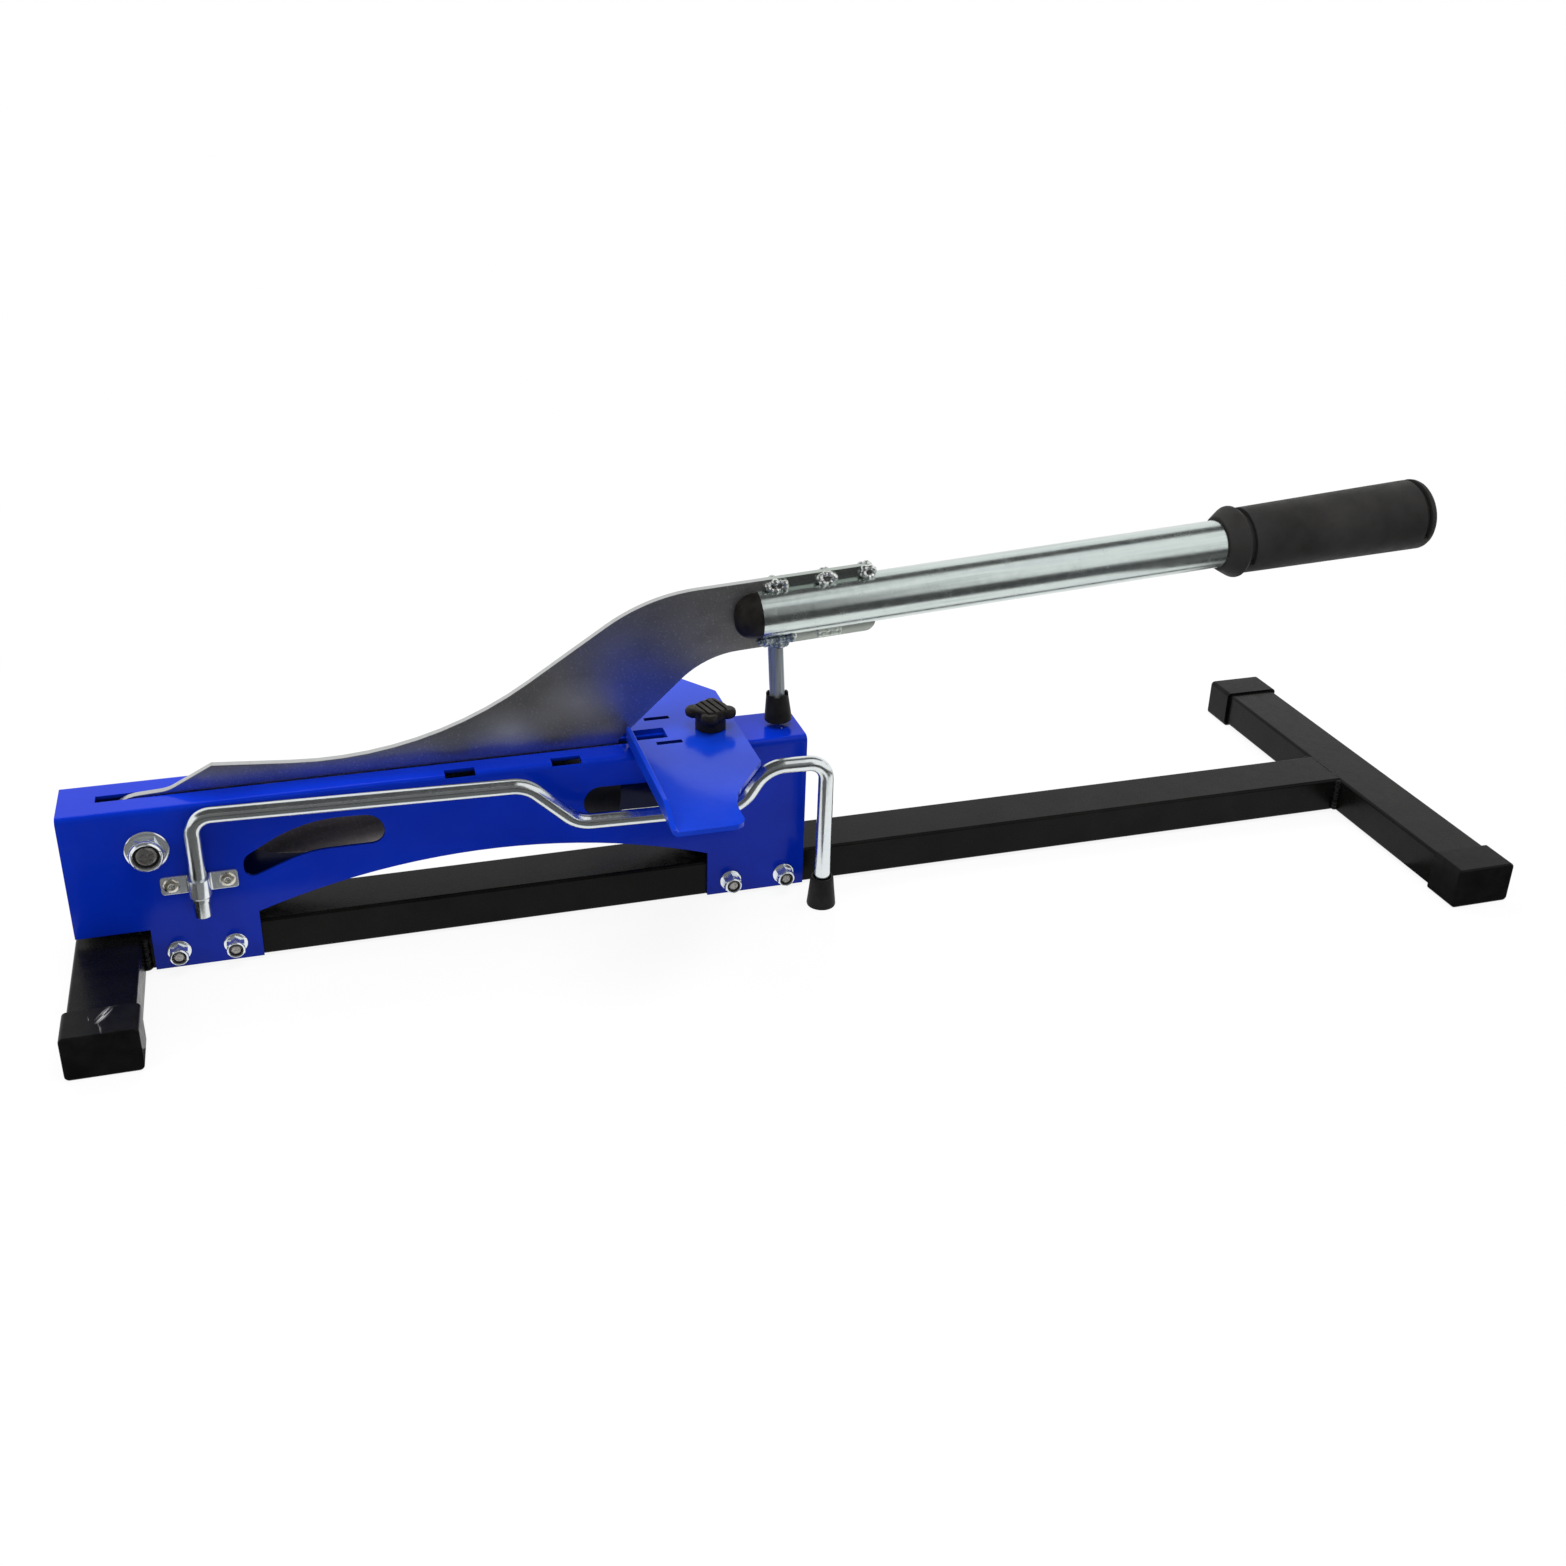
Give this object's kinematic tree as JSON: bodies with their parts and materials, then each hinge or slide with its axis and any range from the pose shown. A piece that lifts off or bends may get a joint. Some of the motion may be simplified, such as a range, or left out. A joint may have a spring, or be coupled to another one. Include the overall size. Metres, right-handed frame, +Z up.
{
  "type": "laminate flooring cutter",
  "caption": "Manual shear for laminate boards: hinged blade with a long lever on a slotted sheet housing, adjustable fence, swing-out support arm and a welded tube base.",
  "frame": {"origin": "on the floor, at the middle of the object's outer box", "axes": "+X along the beam from the blade's pivot towards the lever's grip, +Y away from the side with the support arm, +Z up from the floor"},
  "size_m": [0.9108, 0.312, 0.2439],
  "materials": {
    "black_tube": "satin black powder coat",
    "cap_plastic": "matte black",
    "blue_paint": "glossy royal-blue powder coat",
    "zinc": "bright zinc plating",
    "blade_steel": "dull ground steel",
    "inner_steel": "bare steel",
    "black_rubber": "matte black",
    "knob_plastic": "satin black",
    "rivet_alloy": "satin"
  },
  "bodies": {
    "base": {"base_beam": "black_tube", "front_foot_tube": "black_tube", "rear_foot_tube": "black_tube", "frame_welds": "black_tube", "front_cap_near": "cap_plastic", "front_cap_far": "cap_plastic", "rear_cap_near": "cap_plastic", "rear_cap_far": "cap_plastic", "cutter_housing": "blue_paint", "housing_bolts": "zinc", "housing_nuts": "zinc", "pivot_bolt": "zinc", "pivot_nut": "zinc", "pivot_spacer_near": "inner_steel", "pivot_spacer_far": "inner_steel", "fence_weld_nut": "inner_steel", "arm_saddle": "zinc", "saddle_rivets": "rivet_alloy"},
    "lever": {"blade": "blade_steel", "lever_tube": "zinc", "tube_plug": "knob_plastic", "lever_welds": "zinc", "grip": "black_rubber", "stop_rod": "zinc", "stop_bumper": "black_rubber"},
    "fence": {"fence_plate": "blue_paint"},
    "knob": {"fence_knob": "knob_plastic", "knob_stud": "inner_steel"},
    "arm": {"support_arm": "zinc", "support_foot": "black_rubber"}
  },
  "joints": [
    {"name": "lever_hinge", "type": "hinge", "parent": "base", "child": "lever", "pos_m": [-0.404, 0, 0.086], "axis": [0, -1, 0], "range_deg": [0, 70]},
    {"name": "fence_swivel", "type": "hinge", "parent": "base", "child": "fence", "pos_m": [-0.054, 0, 0.112], "axis": [0, 0, 1], "range_deg": [-4, 4]},
    {"name": "knob_spin", "type": "hinge", "parent": "base", "child": "knob", "pos_m": [-0.054, 0, 0.115], "axis": [0, 0, 1], "continuous": true},
    {"name": "arm_swing", "type": "hinge", "parent": "base", "child": "arm", "pos_m": [-0.377, -0.0277, 0.06], "axis": [0, 0, -1], "range_deg": [0, 90]}
  ]
}
